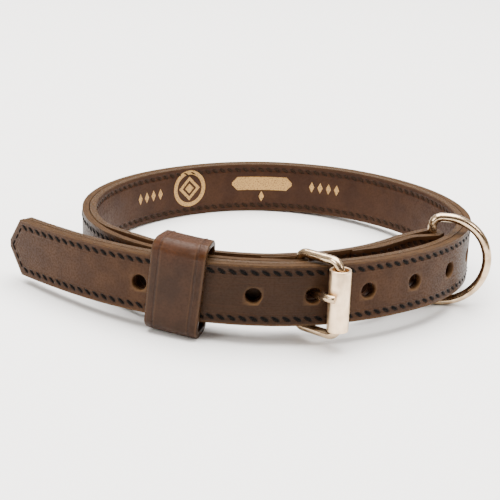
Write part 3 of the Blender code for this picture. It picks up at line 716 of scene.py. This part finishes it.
def lap_offset(distance):
    """How far the strap's returning end lies from its tail, along the tail's outward direction."""
    spot, outward = beside(STRAP_WALK, STRAP_LENGTH, distance, 0.0)
    along = spun(outward, 90.0)
    returning = STRAP_WALK[int(len(STRAP_WALK) * 0.8) + 1:]
    nearest = min(returning, key=lambda mark: abs((mark[0] - spot).dot(along)))
    return (nearest[0] - spot).dot(outward)


def pick(piece, kind, wanted):
    """Go into edit mode with only the wanted faces or edges of a piece selected."""
    work_on(piece)
    bpy.ops.object.mode_set(mode="EDIT")
    bpy.ops.mesh.select_mode(type=kind)
    bpy.ops.mesh.select_all(action="DESELECT")
    bpy.ops.object.mode_set(mode="OBJECT")
    parts = piece.data.polygons if kind == "FACE" else piece.data.edges
    for part in parts:
        part.select = wanted(part)
    bpy.ops.object.mode_set(mode="EDIT")


def edge_run(piece, edge):
    """The run of an edge from its first to its second corner."""
    first, second = edge.vertices
    return piece.data.vertices[second].co - piece.data.vertices[first].co


keeper_front = OUTER_OFFSET + KEEPER_FRONT_CLEARANCE + KEEPER_THICKNESS
keeper_start = KEEPER_PLACE - KEEPER_WIDTH / 2.0
keeper_back = lap_offset(KEEPER_PLACE) + LAYER_GAP / 2.0 - KEEPER_BACK_CLEARANCE - KEEPER_THICKNESS
bpy.ops.object.select_all(action="DESELECT")
bpy.ops.mesh.primitive_cube_add(size=1.0, location=(0.0, 0.0, 0.0))
keeper = bpy.context.object
keeper.name = "keeper"
keeper.data.name = "keeper"
keeper.scale = (KEEPER_WIDTH, keeper_front - keeper_back, KEEPER_HEIGHT)
keeper.location = (
    KEEPER_WIDTH / 2.0, -(keeper_front + keeper_back) / 2.0, STRAP_WIDTH / 2.0 + KEEPER_DROP,
)
bpy.ops.object.transform_apply(location=True, rotation=True, scale=True)
pick(keeper, "FACE", lambda polygon: abs(polygon.normal.x) > 0.9)
bpy.ops.mesh.delete(type="FACE")
bpy.ops.object.mode_set(mode="OBJECT")
pick(keeper, "EDGE", lambda edge: abs(edge_run(keeper, edge).x) > KEEPER_WIDTH / 2.0)
bpy.ops.mesh.bevel(offset=KEEPER_CORNER, segments=10, affect="EDGES")
bpy.ops.object.mode_set(mode="OBJECT")
finish_with(keeper, "SOLIDIFY", thickness=KEEPER_THICKNESS, offset=-1.0, use_even_offset=True)
finish_with(keeper, "BEVEL", width=0.00055, segments=3, limit_method="ANGLE", angle_limit=math.radians(40.0))
work_on(keeper)
crease = KEEPER_CREASE_INSET
bpy.ops.object.mode_set(mode="EDIT")
for inset in (crease - 0.0006, crease, crease + 0.0006, 0.0075, 0.0110, 0.0145,
              KEEPER_WIDTH - crease - 0.0006, KEEPER_WIDTH - crease, KEEPER_WIDTH - crease + 0.0006):
    bpy.ops.mesh.select_all(action="SELECT")
    bpy.ops.mesh.bisect(plane_co=(inset, 0.0, 0.0), plane_no=(1.0, 0.0, 0.0))
for level in range(1, 16):
    bpy.ops.mesh.select_all(action="SELECT")
    bpy.ops.mesh.bisect(
        plane_co=(0.0, 0.0, STRAP_WIDTH / 2.0 + KEEPER_HEIGHT * (level / 16.0 - 0.5)), plane_no=(0.0, 0.0, 1.0),
    )
bpy.ops.object.mode_set(mode="OBJECT")
keep_lay(keeper)
keeper_mid_y = -(keeper_front + keeper_back) / 2.0
for vert in keeper.data.vertices:
    for inset in (crease, KEEPER_WIDTH - crease):
        outer_side = vert.co.y < keeper_mid_y - 0.0040 or abs(vert.co.z - STRAP_WIDTH / 2.0) > KEEPER_HEIGHT / 2.0 - 0.001
        if abs(vert.co.x - inset) < 0.0001 and outer_side:
            vert.co -= vert.normal * KEEPER_CREASE_DEPTH
    straight_x = vert.co.x
    vert.co.x += math.tan(math.radians(KEEPER_TURN_DEG)) * (vert.co.z - STRAP_WIDTH / 2.0)
    if vert.co.y > keeper_mid_y:
        there = lap_offset(keeper_start + vert.co.x) - lap_offset(KEEPER_PLACE)
        vert.co.y -= there
    vert.co.z -= math.tan(math.radians(KEEPER_LEAN_DEG)) * (straight_x - KEEPER_WIDTH / 2.0)
    vert.co.x += KEEPER_MARGIN
keeper_reach = KEEPER_WIDTH + 2.0 * KEEPER_MARGIN
keeper_steps = [keeper_start - KEEPER_MARGIN + keeper_reach * step / 60 for step in range(61)]
keeper_path = [beside(STRAP_WALK, STRAP_LENGTH, step, 0.0)[0] for step in keeper_steps]
bend_along(keeper, keeper_path)
work_on(keeper)
bpy.ops.object.shade_smooth_by_angle(angle=math.radians(50.0))
keeper_finish = bpy.data.materials.new("keeper_leather")
keeper_finish.use_nodes = True
tree = keeper_finish.node_tree
lay = put(tree, "ShaderNodeAttribute", attribute_name="lay").outputs["Vector"]
lay_axes = put(tree, "ShaderNodeSeparateXYZ", {0: lay})
hide = place_group(tree, grain, Place=lay)
from_side = calc(tree, "SUBTRACT", KEEPER_WIDTH * 500.0, calc(tree, "ABSOLUTE", calc(tree, "SUBTRACT", lay_axes.outputs[0], KEEPER_WIDTH * 500.0)))
keeper_cut = fade(tree, from_side, 0.05, 0.45, 1.0, 0.0)
keeper_arris = calc(tree, "MULTIPLY", fade(tree, from_side, 0.1, 0.4), fade(tree, from_side, 0.5, 1.3, 1.0, 0.0))
crease_groove_and_painted_shade = fade(tree, calc(tree, "ABSOLUTE", calc(tree, "SUBTRACT", from_side, KEEPER_CREASE_INSET * 1000.0)), 0.1, 0.7, 1.0, 0.0)
crease_lip_painted_highlight = fade(tree, calc(tree, "ABSOLUTE", calc(tree, "SUBTRACT", from_side, KEEPER_CREASE_INSET * 1000.0 + 0.75)), 0.05, 0.6, 1.0, 0.0)
dye = blend_colour(tree, hide.outputs["Cloud"], (0.0201, 0.0074, 0.0022, 1.0), (0.0294, 0.0109, 0.0034, 1.0))
sunlit = calc(tree, "MULTIPLY", fade(tree, lay_axes.outputs[2], 20.0, 31.0), fade(tree, hide.outputs["Cloud"], 0.0, 1.0, 0.6, 1.0))
dye = blend_colour(tree, calc(tree, "MULTIPLY", sunlit, 0.85), dye, (0.0448, 0.0136, 0.0034, 1.0))
dye = blend_colour(tree, calc(tree, "MULTIPLY", hide.outputs["Speck"], 0.3), dye, (0.0126, 0.0046, 0.0014, 1.0))
# Painted shade in the crease groove, and a painted highlight on its raised lip.
skin = blend_colour(tree, calc(tree, "MULTIPLY", crease_groove_and_painted_shade, 0.35), dye, (0.0098, 0.0034, 0.0012, 1.0))
skin = blend_colour(tree, calc(tree, "MULTIPLY", crease_lip_painted_highlight, 0.22), skin, (0.0645, 0.0288, 0.0101, 1.0))
skin = blend_colour(tree, keeper_cut, skin, blend_colour(tree, hide.outputs["Speck"], (0.0168, 0.0071, 0.0021, 1.0), (0.0365, 0.0160, 0.0050, 1.0)))
# Arrises: worn and lighter, with a painted highlight along the rounded corner.
skin = blend_colour(tree, calc(tree, "MULTIPLY", keeper_arris, 0.5), skin, (0.0589, 0.0278, 0.0101, 1.0))
relief = calc(tree, "MULTIPLY_ADD", hide.outputs["Height"], 0.028, calc(tree, "MULTIPLY", crease_groove_and_painted_shade, -0.16))
bump = put(tree, "ShaderNodeBump", {"Height": relief, "Strength": 1.0, "Distance": 0.001})
shader = tree.nodes["Principled BSDF"]
tree.links.new(skin, shader.inputs["Base Color"])
tree.links.new(fade(tree, hide.outputs["Speck"], 0.0, 1.0, 0.36, 0.55), shader.inputs["Roughness"])
tree.links.new(bump.outputs[0], shader.inputs["Normal"])
shader.inputs["Specular IOR Level"].default_value = 0.14
keeper.data.materials.append(keeper_finish)
settle(keeper)
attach(keeper, "collar")
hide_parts("keeper_loop")

# Foil ornament: worn gold foil pressed into the lining at the back, a ring round a lozenge, a
# pointed bar and rows of dots.
FOIL_THICKNESS = 0.00008
FOIL_PLACE = 0.4452
FOIL_HEIGHT = 0.0144
FOIL_RING_RADIUS = 0.0097
FOIL_RING_WIDTH = 0.0022
FOIL_LOZENGE = (0.0015, 0.0029)
# columns: place along the lining and height of each lozenge
FOIL_LOZENGES = (
    (0.3750, 0.0143), (0.3702, 0.0143), (0.3654, 0.0143), (0.3606, 0.0143),
    (0.4640, 0.0138), (0.4688, 0.0138), (0.4736, 0.0136), (0.4784, 0.0136), (0.4030, 0.0078),
)


def foil_disc(place, height, radius, sides):
    """One flat disc of foil on the lining's inner side, in the flat lay."""
    bpy.ops.mesh.primitive_cylinder_add(
        vertices=sides, radius=radius, depth=FOIL_THICKNESS, location=(place, LEATHER_THICKNESS, height),
        rotation=(math.pi / 2.0, 0.0, 0.0),
    )
    disc = bpy.context.object
    bpy.ops.object.transform_apply(location=True, rotation=True, scale=True)
    return disc


bpy.ops.object.select_all(action="DESELECT")
foil_ring = foil_disc(FOIL_PLACE, FOIL_HEIGHT, FOIL_RING_RADIUS, 64)
inside = foil_disc(FOIL_PLACE, FOIL_HEIGHT, FOIL_RING_RADIUS - FOIL_RING_WIDTH, 64)
inside.scale = (1.0, 4.0, 1.0)
inside.location.y = -3.0 * LEATHER_THICKNESS
finish_with(foil_ring, "BOOLEAN", operation="DIFFERENCE", solver="EXACT", object=inside)
bpy.data.objects.remove(inside, do_unlink=True)
foil_parts = [foil_ring, foil_disc(FOIL_PLACE, FOIL_HEIGHT, FOIL_RING_RADIUS * 0.66, 4)]
pick(foil_parts[1], "FACE", lambda polygon: abs(polygon.normal.y) > 0.9)
bpy.ops.mesh.inset(thickness=0.0015)
bpy.ops.mesh.delete(type="FACE")
bpy.ops.object.mode_set(mode="OBJECT")
finish_with(foil_parts[1], "SOLIDIFY", thickness=FOIL_THICKNESS / 4.0, offset=0.0)
foil_parts.append(foil_disc(FOIL_PLACE, FOIL_HEIGHT, 0.0026, 4))
bpy.ops.object.select_all(action="DESELECT")
bpy.ops.mesh.primitive_cube_add(size=1.0, location=(0.4030, LEATHER_THICKNESS, 0.0149))
foil_bar = bpy.context.object
foil_bar.scale = (0.0335, FOIL_THICKNESS, 0.0072)
bpy.ops.object.transform_apply(location=True, rotation=True, scale=True)
pick(foil_bar, "EDGE", lambda edge: abs(edge_run(foil_bar, edge).y) > FOIL_THICKNESS / 2.0)
bpy.ops.mesh.bevel(offset=0.0030, segments=1, affect="EDGES")
bpy.ops.object.mode_set(mode="OBJECT")
foil_parts.append(foil_bar)
for place, height in FOIL_LOZENGES:
    lozenge = foil_disc(0.0, 0.0, FOIL_LOZENGE[1], 4)
    lozenge.scale.x = FOIL_LOZENGE[0] / FOIL_LOZENGE[1]
    lozenge.location = (place, 0.0, height)
    bpy.ops.object.transform_apply(location=True, rotation=True, scale=True)
    foil_parts.append(lozenge)
foil = join_runs(foil_parts, "foil_ornament")
work_on(foil)
bpy.ops.object.mode_set(mode="EDIT")
for cut_index in range(96):
    bpy.ops.mesh.select_all(action="SELECT")
    bpy.ops.mesh.bisect(plane_co=(0.3600 + 0.0012 * cut_index, 0.0, 0.0), plane_no=(1.0, 0.0, 0.0))
bpy.ops.object.mode_set(mode="OBJECT")
keep_lay(foil)
bend_along(foil, lining_path)
foil_finish = bpy.data.materials.new("gold_foil")
foil_finish.use_nodes = True
tree = foil_finish.node_tree
lay = put(tree, "ShaderNodeAttribute", attribute_name="lay").outputs["Vector"]
flake = put(tree, "ShaderNodeTexNoise", {"Vector": lay, "Scale": 1.6, "Detail": 5.0}).outputs[0]
worn = fade(tree, flake, 0.50, 0.62)
gold = blend_colour(tree, calc(tree, "MULTIPLY", worn, 0.75), (0.400, 0.225, 0.062, 1.0), (0.080, 0.038, 0.014, 1.0))
shader = tree.nodes["Principled BSDF"]
tree.links.new(gold, shader.inputs["Base Color"])
shader.inputs["Metallic"].default_value = 0.25
shader.inputs["Roughness"].default_value = 0.5
foil.data.materials.append(foil_finish)
work_on(foil)
bpy.ops.object.shade_flat()
settle(foil)
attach(foil, "collar")

# Buckle frame: one round nickel-plated wire bent to a rectangle and welded, its straight bar inside
# the face leather's fold and its front bar inside the roller.
FRAME_INNER_HEIGHT = 0.0276
FRAME_DROP = 0.0003
BAR_CORNER = 0.0035
FRONT_CORNER = 0.0045
ROLLER_DISTANCE = 0.1550
ROLLER_OFFSET = 0.0088


def rounded_rectangle(corners, radii, paces):
    """A closed run of places round straight sides joined by arcs."""
    run = []
    for index, corner in enumerate(corners):
        before = (corners[index - 1] - corner).normalized()
        after = (corners[(index + 1) % len(corners)] - corner).normalized()
        centre = corner + (before + after) * radii[index]
        for pace in range(paces + 1):
            angle = 0.5 * math.pi * pace / paces
            spot = centre - after * (radii[index] * math.cos(angle))
            run.append(spot - before * (radii[index] * math.sin(angle)))
    return run


def bent_wire(name, places, radius, closed, shares=None):
    """A round wire along places, made from a bevelled line and turned into a mesh."""
    line = bpy.data.curves.new(name, "CURVE")
    line.dimensions = "3D"
    line.twist_mode = "MINIMUM"
    line.bevel_depth = radius
    line.bevel_resolution = 8
    line.use_fill_caps = not closed
    spline = line.splines.new("POLY")
    spline.points.add(len(places) - 1)
    for index, spot in enumerate(places):
        spline.points[index].co = (*spot, 1.0)
        spline.points[index].radius = shares[index] if shares else 1.0
    spline.use_cyclic_u = closed
    wire = bpy.data.objects.new(name, line)
    bpy.context.scene.collection.objects.link(wire)
    work_on(wire)
    bpy.ops.object.convert(target="MESH")
    wire = bpy.context.object
    wire.name = name
    wire.data.name = name
    bpy.ops.object.mode_set(mode="EDIT")
    bpy.ops.mesh.select_all(action="SELECT")
    bpy.ops.mesh.remove_doubles(threshold=0.00001)
    bpy.ops.mesh.normals_make_consistent(inside=False)
    bpy.ops.object.mode_set(mode="OBJECT")
    bpy.ops.object.shade_smooth_by_angle(angle=math.radians(45.0))
    return wire


# Handling: soft smudges and fine scratches on plated metal
handling, handling_in, handling_out = start_group(
    "plating_wear", (("Place", "NodeSocketVector"),), ("Smudge", "Scratch"),
)
smudge = put(handling, "ShaderNodeTexNoise", {"Vector": handling_in.outputs[0], "Scale": 260.0, "Detail": 5.0})
stretched = put(handling, "ShaderNodeVectorMath", {0: handling_in.outputs[0], 1: (900.0, 900.0, 220.0)}, operation="MULTIPLY")
scratch = put(handling, "ShaderNodeTexNoise", {"Vector": stretched.outputs[0], "Scale": 1.0, "Detail": 6.0})
handling.links.new(fade(handling, smudge.outputs[0], 0.35, 0.68), handling_out.inputs["Smudge"])
handling.links.new(fade(handling, scratch.outputs[0], 0.45, 0.70), handling_out.inputs["Scratch"])


def nickel_plate(name, bright, dull, smooth, rough):
    """Warm nickel plating, clean where it is protected and dulled where it is handled."""
    made = bpy.data.materials.new(name)
    made.use_nodes = True
    tree = made.node_tree
    place = put(tree, "ShaderNodeTexCoord").outputs["Object"]
    used = place_group(tree, handling, Place=place)
    shader = tree.nodes["Principled BSDF"]
    tone = blend_colour(tree, used.outputs["Smudge"], bright, dull)
    tone = blend_colour(tree, calc(tree, "MULTIPLY", used.outputs["Scratch"], 0.22), tone, (0.42, 0.35, 0.27, 1.0))
    tree.links.new(tone, shader.inputs["Base Color"])
    tree.links.new(fade(tree, used.outputs["Smudge"], 0.0, 1.0, smooth, rough), shader.inputs["Roughness"])
    relief = calc(tree, "MULTIPLY_ADD", used.outputs["Scratch"], 0.25, used.outputs["Smudge"])
    bump = put(tree, "ShaderNodeBump", {"Height": relief, "Strength": 0.35, "Distance": 0.00006})
    tree.links.new(bump.outputs[0], shader.inputs["Normal"])
    shader.inputs["Metallic"].default_value = 1.0
    return made


ROLLER = beside(STRAP_WALK, STRAP_LENGTH, ROLLER_DISTANCE, ROLLER_OFFSET)[0]
frame_middle = STRAP_WIDTH / 2.0 - FRAME_DROP
frame_half = FRAME_INNER_HEIGHT / 2.0 + BAR_WIRE / 2.0
frame_corners = (
    Vector((BAR.x, BAR.y, frame_middle - frame_half)), Vector((ROLLER.x, ROLLER.y, frame_middle - frame_half)),
    Vector((ROLLER.x, ROLLER.y, frame_middle + frame_half)), Vector((BAR.x, BAR.y, frame_middle + frame_half)),
)
frame_run = rounded_rectangle(frame_corners, (BAR_CORNER, FRONT_CORNER, FRONT_CORNER, BAR_CORNER), 12)
buckle = bent_wire("buckle_wire", frame_run, BAR_WIRE / 2.0, True)
buckle.data.materials.append(nickel_plate("frame_nickel", (0.56, 0.415, 0.265, 1.0), (0.36, 0.25, 0.15, 1.0), 0.16, 0.26))
settle(buckle)
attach(buckle, "collar")
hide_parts("buckle_frame")

# Roller: a strip of nickel-plated steel rolled to a loose tube on the front bar.
ROLLER_DIAMETER = 0.0088
ROLLER_WALL = 0.0010
ROLLER_LENGTH = 0.0256
bpy.ops.object.select_all(action="DESELECT")
bpy.ops.mesh.primitive_cylinder_add(
    vertices=72, radius=ROLLER_DIAMETER / 2.0, depth=ROLLER_LENGTH, end_fill_type="NOTHING",
    location=(ROLLER.x, ROLLER.y, frame_middle),
)
roller = bpy.context.object
roller.name = "roller"
roller.data.name = "roller"
bpy.ops.object.transform_apply(location=True, rotation=True, scale=True)
finish_with(roller, "SOLIDIFY", thickness=ROLLER_WALL, offset=-1.0, use_even_offset=True)
finish_with(roller, "BEVEL", width=0.00025, segments=3, limit_method="ANGLE", angle_limit=math.radians(40.0))
work_on(roller)
bpy.ops.object.shade_smooth_by_angle(angle=math.radians(50.0))
roller.data.materials.append(nickel_plate("roller_nickel", (0.86, 0.645, 0.42, 1.0), (0.74, 0.54, 0.345, 1.0), 0.30, 0.42))
settle(roller)
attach(roller, "collar")
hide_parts("buckle_roller")

# Prong: a round wire, beaten flat where it hooks round the bar, out through the fourth hole and
# over the roller to a blunt end with a small pit in it.
PRONG_THICKNESS = 0.0034
PRONG_HOOK_THICKNESS = 0.0015
PRONG_HOOK_START_DEG = 70.0
PRONG_ALONG = 0.0099
PRONG_RISE = 0.0019
PRONG_OUT = 0.0207
# columns: share of the way along the strap, share of the way out, share of full thickness
PRONG_SHANK = (
    (0.136, 0.155, 0.48), (0.204, 0.175, 0.54), (0.271, 0.205, 0.62), (0.331, 0.25, 0.74), (0.390, 0.31, 0.85),
    (0.433, 0.37, 0.94), (0.475, 0.43, 1.0), (0.514, 0.495, 1.0), (0.552, 0.56, 1.0), (0.581, 0.62, 1.0),
    (0.611, 0.68, 1.0), (0.640, 0.74, 1.0), (0.670, 0.80, 1.0), (0.712, 0.853, 0.99), (0.760, 0.90, 0.97),
    (0.812, 0.937, 0.95), (0.870, 0.965, 0.93), (0.940, 0.985, 0.91), (0.985, 0.996, 0.87), (1.0, 1.0, 0.80),
)
hook_reach = BAR_WIRE / 2.0 + WIRE_CLEARANCE + PRONG_HOOK_THICKNESS / 2.0
BAR_ALONG = spun(BAR_OUT, 90.0)
prong_places = []
prong_sizes = []
for turn in range(25):
    out = spun(BAR_OUT, PRONG_HOOK_START_DEG + (360.0 - PRONG_HOOK_START_DEG) * turn / 24)
    spot = BAR + out * hook_reach
    prong_places.append(Vector((spot.x, spot.y, STRAP_WIDTH / 2.0)))
    prong_sizes.append((PRONG_HOOK_THICKNESS / PRONG_THICKNESS, 1.0))
for along, out, thick in PRONG_SHANK:
    spot = BAR + BAR_ALONG * (along * PRONG_ALONG) + BAR_OUT * (out * PRONG_OUT)
    prong_places.append(Vector((spot.x, spot.y, STRAP_WIDTH / 2.0 + PRONG_RISE * ease((out - 0.3) / 0.7))))
    prong_sizes.append((thick, 0.5 + 0.5 * thick))
prong = bent_wire("prong", prong_places, PRONG_THICKNESS / 2.0, False, [size[1] for size in prong_sizes])
ring_of = [min(range(len(prong_places)), key=lambda index: (prong_places[index].xy - vert.co.xy).length)
           for vert in prong.data.vertices]
for vert, index in zip(prong.data.vertices, ring_of):
    before = prong_places[max(index - 1, 0)]
    after = prong_places[min(index + 1, len(prong_places) - 1)]
    side = (after - before).cross(Vector((0.0, 0.0, 1.0))).normalized()
    away = (vert.co - prong_places[index]).dot(side)
    vert.co += side * (away * (prong_sizes[index][0] / prong_sizes[index][1] - 1.0))
prong_tip = prong_places[-1]
prong_run = (prong_places[-1] - prong_places[-2]).normalized()
pick(prong, "FACE", lambda polygon: (polygon.center - prong_tip).length < 0.0005 and polygon.normal.dot(prong_run) > 0.9)
bpy.ops.mesh.inset(thickness=0.00035)
bpy.ops.mesh.inset(thickness=0.00025)
bpy.ops.transform.translate(value=prong_run * -0.0004)
bpy.ops.mesh.inset(thickness=0.0003)
bpy.ops.transform.translate(value=prong_run * -0.0004)
bpy.ops.object.mode_set(mode="OBJECT")
finish_with(prong, "BEVEL", width=0.00018, segments=2, limit_method="ANGLE", angle_limit=math.radians(45.0))
work_on(prong)
bpy.ops.object.shade_smooth_by_angle(angle=math.radians(40.0))
prong.data.materials.append(nickel_plate("prong_nickel", (0.60, 0.45, 0.29, 1.0), (0.42, 0.30, 0.185, 1.0), 0.18, 0.28))
settle(prong)
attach(prong, "collar")
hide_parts("buckle_prong")

# Ring: a welded D of nickel-plated wire, its straight bar held in the tab, its bow outside the strap.
RING_INNER_HEIGHT = 0.0343
RING_ARM = 0.0057
RING_CORNER = 0.0040
RING_RISE = 0.0004
RING_TURN_DEG = -4.1
ring_half = RING_INNER_HEIGHT / 2.0 + RING_WIRE / 2.0
away = Vector((math.cos(math.radians(RING_TURN_DEG)), math.sin(math.radians(RING_TURN_DEG)), 0.0))
upward = Vector((0.0, 0.0, 1.0))
seat = Vector((RING_BAR.x, RING_BAR.y, STRAP_WIDTH / 2.0 + RING_RISE))
ring_run = []
for side in (1.0, -1.0):
    for turn in range(13):
        angle = 0.5 * math.pi * (turn if side > 0.0 else 12 - turn) / 12
        in_by = RING_CORNER * (1.0 - math.sin(angle))
        down_by = RING_CORNER * (1.0 - math.cos(angle))
        ring_run.append(seat + away * in_by + upward * side * (ring_half - down_by))
for turn in range(61):
    angle = math.pi * (turn / 60.0 - 0.5)
    bow = away * (RING_ARM + ring_half * math.cos(angle))
    ring_run.append(seat + bow + upward * (ring_half * math.sin(angle)))
ring = bent_wire("ring_wire", ring_run, RING_WIRE / 2.0, True)
ring.data.materials.append(nickel_plate("ring_nickel", (0.56, 0.415, 0.265, 1.0), (0.36, 0.25, 0.15, 1.0), 0.16, 0.26))
settle(ring)
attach(ring, "ring")
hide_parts("d_ring")
